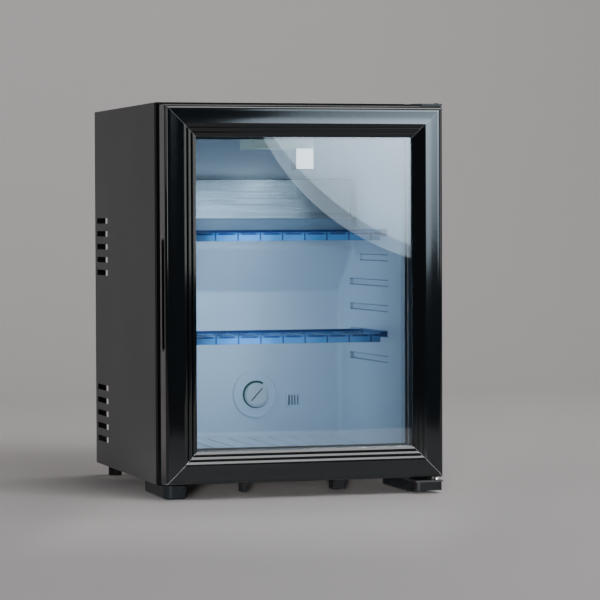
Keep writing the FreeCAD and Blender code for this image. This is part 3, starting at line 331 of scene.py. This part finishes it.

# The cold plate is an aluminium extrusion, brushed along its length, so its face carries fine level
# lines. A dark line of painted shade runs along its top and right-hand edges. The tray under it is
# blue-grey plastic.
plate_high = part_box("evaporator_plate")[1]
LINE_PITCH = 0.0030
LINE_DEPTH = 0.0008
LINE_STRETCH = (0.02, 1, 1)
LINE_DETAIL = 6
LINE_TONE = 0.6
LINE_DARK = (0.05, 0.06, 0.07)
PLATE_EDGE = 0.0014
PLATE_EDGE_SHADE = (0.06, 0.075, 0.09)


def brushed_lines_and_edge_shade(material):
    """Adds level brush lines to tone and bump, and painted shade along the top and right-hand edges."""
    tree = material.node_tree
    stretch = tree.nodes.new("ShaderNodeMapping")
    stretch.inputs["Scale"].default_value = LINE_STRETCH
    noise = tree.nodes.new("ShaderNodeTexNoise")
    noise.inputs["Scale"].default_value = 0.5 / LINE_PITCH
    noise.inputs["Detail"].default_value = LINE_DETAIL
    bump = tree.nodes.new("ShaderNodeBump")
    bump.inputs["Distance"].default_value = LINE_DEPTH
    tree.links.new(object_place(tree), stretch.inputs["Vector"])
    tree.links.new(stretch.outputs["Vector"], noise.inputs["Vector"])
    tree.links.new(noise.outputs["Fac"], bump.inputs["Height"])
    tree.links.new(tree.nodes["grain"].outputs["Normal"], bump.inputs["Normal"])
    tree.links.new(bump.outputs["Normal"], tree.nodes["Principled BSDF"].inputs["Normal"])
    blend_in(tree, math_node(tree, "MULTIPLY", noise.outputs["Fac"], LINE_TONE), LINE_DARK)
    across, _, level = place_axes(tree)
    from_right = math_node(tree, "SUBTRACT", plate_high.x, across)
    from_top = math_node(tree, "SUBTRACT", plate_high.z, level)
    nearest = math_node(tree, "MINIMUM", from_right, from_top)
    blend_in(tree, math_node(tree, "LESS_THAN", nearest, PLATE_EDGE), PLATE_EDGE_SHADE)


cold_metal = finish_of("brushed_aluminium", colour=(0.40, 0.42, 0.44), roughness=0.36, scale=1200,
                       height=0.02, tone=0.5, spread=0.3, Metallic=1.0)
brushed_lines_and_edge_shade(cold_metal)
dress(cold_metal, "evaporator_plate")
tray_blue = finish_of("tray_plastic", colour=(0.17, 0.24, 0.31), roughness=0.35, scale=700, height=0.03)
dress(tray_blue, "drip_tray")

# The lamp: a milky plastic housing fixed under the ceiling, and a lit block at its right-hand
# end, which glows, slightly mottled, inside a dark outline.
lamp_low, lamp_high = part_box("lamp_lens")
HOUSING_MILKY = (0.78, 0.90, 0.85)
HOUSING_GLOW = (0.45, 0.58, 0.56, 1)
LENS_RIM = 0.0012
LENS_MOTTLE = 260
LENS_LEAST = 0.45
LENS_DARK = (0.03, 0.05, 0.07)
LENS_LIGHT = (0.93, 0.97, 1.0)
LENS_POWER = 1.7


def lit_face(material):
    """Lights the block from inside: bright and slightly mottled, dark at its outline."""
    tree = material.node_tree
    shader = tree.nodes["Principled BSDF"]
    across, _, level = place_axes(tree)
    from_left = math_node(tree, "SUBTRACT", across, lamp_low.x)
    from_right = math_node(tree, "SUBTRACT", lamp_high.x, across)
    from_base = math_node(tree, "SUBTRACT", level, lamp_low.z)
    nearest = math_node(tree, "MINIMUM", math_node(tree, "MINIMUM", from_left, from_right), from_base)
    inner = math_node(tree, "GREATER_THAN", nearest, LENS_RIM)
    blend_in(tree, math_node(tree, "SUBTRACT", 1.0, inner), LENS_DARK)
    mottle = tree.nodes.new("ShaderNodeTexNoise")
    mottle.inputs["Scale"].default_value = LENS_MOTTLE
    tree.links.new(object_place(tree), mottle.inputs["Vector"])
    lit_share = all_of(tree, inner, math_node(tree, "ADD", mottle.outputs["Fac"], LENS_LEAST))
    glow = tree.nodes.new("ShaderNodeMix")
    glow.data_type = "RGBA"
    glow.inputs["A"].default_value = (*LENS_DARK, 1)
    glow.inputs["B"].default_value = (*LENS_LIGHT, 1)
    tree.links.new(lit_share, glow.inputs["Factor"])
    tree.links.new(glow.outputs["Result"], shader.inputs["Emission Color"])
    shader.inputs["Emission Strength"].default_value = LENS_POWER


housing = finish_of("lamp_housing", colour=HOUSING_MILKY, roughness=0.35, scale=500, height=0.02,
                    Alpha=0.7, Emission_Color=HOUSING_GLOW, Emission_Strength=0.2)
dress(housing, "lamp_housing")
lit_block = finish_of("lit_diffuser", colour=(0.85, 0.9, 0.93), roughness=0.4, scale=900, height=0.03,
                      tone=0.05)
lit_face(lit_block)
dress(lit_block, "lamp_lens")

# Two shelves, moulded in clear blue plastic. The front edge of the plate, the ribs on the lip and
# the rear lip look darker, because they are seen through more plastic. The plate is the clearest.
SHELF_BLUE = (0.065, 0.28, 0.60)
SHELF_DEEP_BLUE = (0.004, 0.040, 0.17)
EDGE_BAND = 0.0030
RUNNER_TALL = 0.0035
LIP_BAND = 0.0030
LIP_ALPHA = 0.85
PLATE_ALPHA = 0.5
RIB_PITCH = 0.033
RIB_HALF = 0.0009
PALE_HALF = 0.005
PALE_SHADE = 0.5


def clear_blue(name):
    """Blue plastic with a darker front edge, ribs and rear lip, placed from the shelf's own box."""
    low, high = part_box(name)
    material = finish_of(f"{name}_blue", colour=SHELF_BLUE, roughness=0.2, scale=300, height=0.02,
                         Specular_IOR_Level=0.12)
    tree = material.node_tree
    across, depth, level = place_axes(tree)
    plate = math_node(tree, "GREATER_THAN", level, high.z - RUNNER_TALL - EDGE_BAND)
    rear = math_node(tree, "GREATER_THAN", depth, high.y - LIP_BAND)
    front = math_node(tree, "LESS_THAN", depth, low.y + LIP_BAND)
    wrapped = math_node(tree, "WRAP", across, RIB_PITCH / 2, -RIB_PITCH / 2)
    from_rib = math_node(tree, "ABSOLUTE", wrapped)
    rib = all_of(tree, front, math_node(tree, "LESS_THAN", from_rib, RIB_HALF))
    off_rib = math_node(tree, "GREATER_THAN", from_rib, PALE_HALF)
    edge = all_of(tree, plate, front, math_node(tree, "ADD", off_rib, PALE_SHADE))
    dark = math_node(tree, "MAXIMUM", math_node(tree, "MAXIMUM", edge, rib), rear)
    blend_in(tree, math_node(tree, "MINIMUM", dark, 1.0), SHELF_DEEP_BLUE)
    between = math_node(tree, "SUBTRACT", 1.0, math_node(tree, "MAXIMUM", front, rear))
    clearer = math_node(tree, "MULTIPLY", between, LIP_ALPHA - PLATE_ALPHA)
    alpha = math_node(tree, "SUBTRACT", LIP_ALPHA, clearer)
    tree.links.new(alpha, tree.nodes["Principled BSDF"].inputs["Alpha"])
    dress(material, name)


clear_blue("upper_shelf")
clear_blue("lower_shelf")

# The door frame: four lengths of one moulding in polished black, mitred at the corners. A grip
# cup is let into the left one, and a grey trim and a rubber seal close the back.
rail_low, rail_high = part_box("door_bottom_rail")
door_low_z = rail_low.z
door_high_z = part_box("door_top_rail")[1].z
GLOSS_BLACK = (0.003, 0.0042, 0.005)
SEAM_HALF = 0.00035
SEAM_HIGHLIGHT = (0.22, 0.23, 0.24)


def mitre_highlights(material):
    """Paints a highlight along the mitred joints: light hairlines, standing for light caught on the
    joints' bevelled edges, that run in from the four corners.
    """
    tree = material.node_tree
    across, _, level = place_axes(tree)
    side_inset = math_node(tree, "SUBTRACT", rail_high.x, math_node(tree, "ABSOLUTE", across))
    low_inset = math_node(tree, "SUBTRACT", level, door_low_z)
    high_inset = math_node(tree, "SUBTRACT", door_high_z, level)
    inset = math_node(tree, "MINIMUM", low_inset, high_inset)
    apart = math_node(tree, "ABSOLUTE", math_node(tree, "SUBTRACT", side_inset, inset))
    blend_in(tree, math_node(tree, "LESS_THAN", apart, SEAM_HALF), SEAM_HIGHLIGHT)


gloss_black = finish_of("polished_black", colour=GLOSS_BLACK, roughness=0.07, scale=120, height=0.008,
                        spread=0.03, IOR=1.55)
mitre_highlights(gloss_black)
dress(gloss_black, "door_top_rail", "door_bottom_rail", "door_left_stile", "door_right_stile")
trim_black = finish_of("trim_black", colour=(0.010, 0.010, 0.011), roughness=0.3, scale=1400, height=0.03)
dress(trim_black, "handle_cup")
trim_grey = finish_of("trim_grey", colour=(0.52, 0.55, 0.57), roughness=0.4, scale=1400, height=0.03)
dress(trim_grey, "door_back_trim")
dress(rubber, "door_gasket")

# Double glazing: a pane that mirrors outside, a coated pane that hardly mirrors inside, and a pale spacer
# bar between them. The front of the bar is coloured black along the two stiles.
GLASS_TINT = (0.93, 0.97, 0.98)
MIRRORING_IOR = 1.70
COATED_IOR = 1.02
SPACER_BLACK_DEPTH = 0.0135
SPACER_BLACK_SIDE = 0.1562
SPACER_SIDE_BLACK = (0.006, 0.006, 0.007)


def pane_of(name, bend):
    """Clear glass with a faint tint, smooth on both faces."""
    return finish_of(name, colour=GLASS_TINT, roughness=0.0, scale=40, height=0.0, tone=0.03,
                     spread=0.0, Transmission_Weight=1.0, IOR=bend)


def spacer_black_sides(material):
    """Blackens the front of the spacer bar along the two stiles."""
    tree = material.node_tree
    across, depth, _ = place_axes(tree)
    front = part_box("glass_spacer")[0].y
    ahead = math_node(tree, "LESS_THAN", depth, front + SPACER_BLACK_DEPTH)
    aside = math_node(tree, "GREATER_THAN", math_node(tree, "ABSOLUTE", across), SPACER_BLACK_SIDE)
    blend_in(tree, all_of(tree, ahead, aside), SPACER_SIDE_BLACK)


dress(pane_of("float_glass", MIRRORING_IOR), "outer_glass")
dress(pane_of("coated_glass", COATED_IOR), "inner_glass")
spacer_bar = finish_of("spacer_bar", colour=(0.62, 0.67, 0.70), roughness=0.6, scale=900, height=0.05,
                       Specular_IOR_Level=0.1)
spacer_black_sides(spacer_bar)
dress(spacer_bar, "glass_spacer")

# The hinges: pressed steel plates in black zinc, with a moulded cover under the lower one, and a
# washer and screws in bright zinc. The door turns on plastic bushes.
zinc = finish_of("zinc_plate", colour=(0.62, 0.62, 0.60), roughness=0.28, scale=1500, height=0.05,
                 Metallic=1.0)
dress(zinc, "top_hinge_screws", "hinge_washer", "back_panel_screws")
dark_zinc = finish_of("black_zinc", colour=(0.03, 0.03, 0.032), roughness=0.3, scale=1500, height=0.05)
dress(dark_zinc, "top_hinge_plate", "bottom_hinge_plate")
dress(moulded_black, "hinge_cover")
bush_plastic = finish_of("bush_plastic", colour=(0.02, 0.02, 0.02), roughness=0.5)
dress(bush_plastic, "top_hinge_bush", "bottom_hinge_bush")

# The cooling unit in the cabinet's open back: welded steel tubes and vessels in black stove paint,
# with pressed aluminium fins, on a galvanised bracket that is fixed to the panel. The control box
# and the cord's gland are plastic.
galvanised = finish_of("galvanised_sheet", colour=(0.40, 0.41, 0.42), roughness=0.42, scale=200,
                       height=0.08, tone=0.5, spread=0.3, Metallic=1.0)
dress(galvanised, "back_panel", "unit_bracket")
stove_black = finish_of("stove_black", colour=(0.014, 0.014, 0.014), roughness=0.45, scale=500,
                        height=0.15)
dress(stove_black, "boiler_case", "condenser_pipe", "absorber_vessel", "absorber_coil",
      "heat_exchanger_pipe")
fin_metal = finish_of("fin_aluminium", colour=(0.60, 0.61, 0.62), roughness=0.35, scale=900,
                      height=0.05, Metallic=1.0)
dress(fin_metal, "condenser_fins")
box_black = finish_of("box_black", colour=(0.018, 0.018, 0.019), roughness=0.55, scale=1600, height=0.1)
dress(box_black, "control_box", "cord_gland")

# A plain pale floor that sweeps up into a backdrop: one sheet of paper, bent in a wide curve
# behind the cabinet.
PAPER_PALE = (0.535, 0.502, 0.488)
SWEEP_HALF = 5.0
SWEEP_DEPTH_SHARE = 0.5
SWEEP_SHIFT = 1.1
SWEEP_RADIUS = 1.6
SWEEP_STEPS = 32
WALL_HEIGHT = 5.0
sweep = bmesh.new()
bmesh.ops.create_grid(sweep, x_segments=1, y_segments=1, size=SWEEP_HALF)
bmesh.ops.scale(sweep, verts=sweep.verts[:], vec=(1, SWEEP_DEPTH_SHARE, 1))
rear_edge = [edge for edge in sweep.edges if all(vert.co.y > 0 for vert in edge.verts)]
raised = bmesh.ops.extrude_edge_only(sweep, edges=rear_edge)["geom"]
raised_verts = [item for item in raised if isinstance(item, bmesh.types.BMVert)]
bmesh.ops.translate(sweep, verts=raised_verts, vec=(0, 0, WALL_HEIGHT))
fold = [edge for edge in sweep.edges if all(vert.co.y > 0 and vert.co.z == 0 for vert in edge.verts)]
bmesh.ops.bevel(sweep, geom=fold, offset=SWEEP_RADIUS, segments=SWEEP_STEPS, profile=0.5,
                affect="EDGES", material=-1)
bmesh.ops.translate(sweep, verts=sweep.verts[:], vec=(0, SWEEP_SHIFT, 0))
bmesh.ops.recalc_face_normals(sweep, faces=sweep.faces[:])
sweep_data = bpy.data.meshes.new("backdrop")
sweep.to_mesh(sweep_data)
sweep.free()
for face in sweep_data.polygons:
    face.use_smooth = True
backdrop = bpy.data.objects.new("backdrop", sweep_data)
bpy.context.scene.collection.objects.link(backdrop)
pale_paper = finish_of("pale_paper", colour=PAPER_PALE, roughness=0.7, scale=60, height=0.0, tone=0.02)
sweep_data.materials.append(pale_paper)

# Soft studio light. Two round lights far in front show in the outer pane as two arcs. The eye
# that the pane mirrors is what they aim at. Lamps behind the door stand in for the light that
# comes through the glass.
STUDIO_GREY = (0.055, 0.06, 0.068, 1)
MIRRORED_EYE = (-1.131, 3.594, 0.394)
CABINET_MIDDLE = (0, 0, 0.3)
COOL = (0.80, 0.90, 1.0)
VEIL_COOL = (0.68, 0.85, 1.0)
LAMP_COOL = (0.6, 0.8, 1.0)
STRIP_COOL = (0.54, 0.75, 1.0)
STRIP_LEFT = -0.105
STRIP_PITCH = 0.07
STRIP_DEPTH = -0.15
STRIP_LEVEL = 0.275
STRIP_WIDTH = 0.06
STRIP_TALL = 0.29
AIM_DEPTH = 0.85
AIM_LEVEL = 0.15
AIM_ASIDE = (0.9, -0.4, -0.55, -0.55)
STRIP_POWER = (0.125, 0.105, 0.058, 0.026)

world = bpy.data.worlds.new("studio")
bpy.context.scene.world = world
world.use_nodes = True
world.node_tree.nodes["Background"].inputs["Color"].default_value = STUDIO_GREY
world.node_tree.nodes["Background"].inputs["Strength"].default_value = 1.0


def softbox(name, place, target, size, power, shape="SQUARE", colour=(1, 1, 1), tall=None, spread=180):
    """An area light that looks from its place to its target."""
    light = bpy.data.lights.new(name, "AREA")
    light.shape = shape
    light.size = size
    light.size_y = tall or size
    light.spread = math.radians(spread)
    light.energy = power
    light.color = colour
    lamp = bpy.data.objects.new(name, light)
    lamp.location = place
    lamp.rotation_euler = (Vector(target) - Vector(place)).to_track_quat("-Z", "Y").to_euler()
    bpy.context.scene.collection.objects.link(lamp)


softbox("round_key", place=(1.972, -4.940, 0.988), target=MIRRORED_EYE, size=1.529, power=0.20,
        shape="DISK", colour=VEIL_COOL, spread=19.3)
softbox("round_key_heart", place=(2.099, -4.876, 1.185), target=MIRRORED_EYE, size=1.923, power=0.70,
        shape="DISK", colour=VEIL_COOL, spread=14)
softbox("overhead", place=(0.85, -2.4, 3.0), target=CABINET_MIDDLE, size=1.75, power=64)
softbox("left_side", place=(-3.6, -0.4, 1.6), target=CABINET_MIDDLE, size=2.4, power=18)
softbox("left_strip", place=(-3.0, -2.6, 0.5), target=CABINET_MIDDLE, size=0.5, power=6)
softbox("right_side", place=(3.6, -1.6, 1.2), target=CABINET_MIDDLE, size=2.0, power=25)
softbox("wall_wash", place=(0.8, 0.9, 3.2), target=(1.2, 3.6, 0.6), size=2.0, power=50)
softbox("right_key", place=(2.4, -3.2, 1.9), target=(0, 0, 0.25), size=0.7, power=30, colour=COOL)
softbox("low_fill", place=(-0.45, -1.25, 0.10), target=(0, -0.15, 0), size=0.5, power=0.3,
        shape="RECTANGLE", tall=0.08, spread=10)
softbox("inside_lamp", place=(0.029, -0.1065, 0.456), target=(0.0, -0.06, 0.06), size=0.024,
        power=0.12, colour=LAMP_COOL)
for index, (aside, power) in enumerate(zip(AIM_ASIDE, STRIP_POWER)):
    across = STRIP_LEFT + STRIP_PITCH * index
    softbox(f"inside_strip_{index}", place=(across, STRIP_DEPTH, STRIP_LEVEL),
            target=(across + aside, AIM_DEPTH, AIM_LEVEL), size=STRIP_WIDTH, power=power,
            shape="RECTANGLE", colour=STRIP_COOL, tall=STRIP_TALL, spread=90)

# The camera stands far in front of the door, to its left and a little above its middle, with a
# long lens. It is turned to the right, and is pitched and rolled as the photograph is.
EYE = Vector((-1.13076, -4.02938, 0.39417))
YAW = math.radians(-16.42)
PITCH = math.radians(90 - 1.706)
ROLL = math.radians(-0.223)
SENSOR_WIDTH = 36
LENS_LENGTH = 171.46
FAR_LIMIT = 60
camera = bpy.data.objects.new("camera", bpy.data.cameras.new("camera"))
camera.data.sensor_width = SENSOR_WIDTH
camera.data.lens = LENS_LENGTH
camera.data.clip_end = FAR_LIMIT
camera.matrix_world = (
    Matrix.Translation(EYE) @ Matrix.Rotation(YAW, 4, "Z") @ Matrix.Rotation(PITCH, 4, "X")
    @ Matrix.Rotation(ROLL, 4, "Z")
)
bpy.context.scene.collection.objects.link(camera)
bpy.context.scene.camera = camera
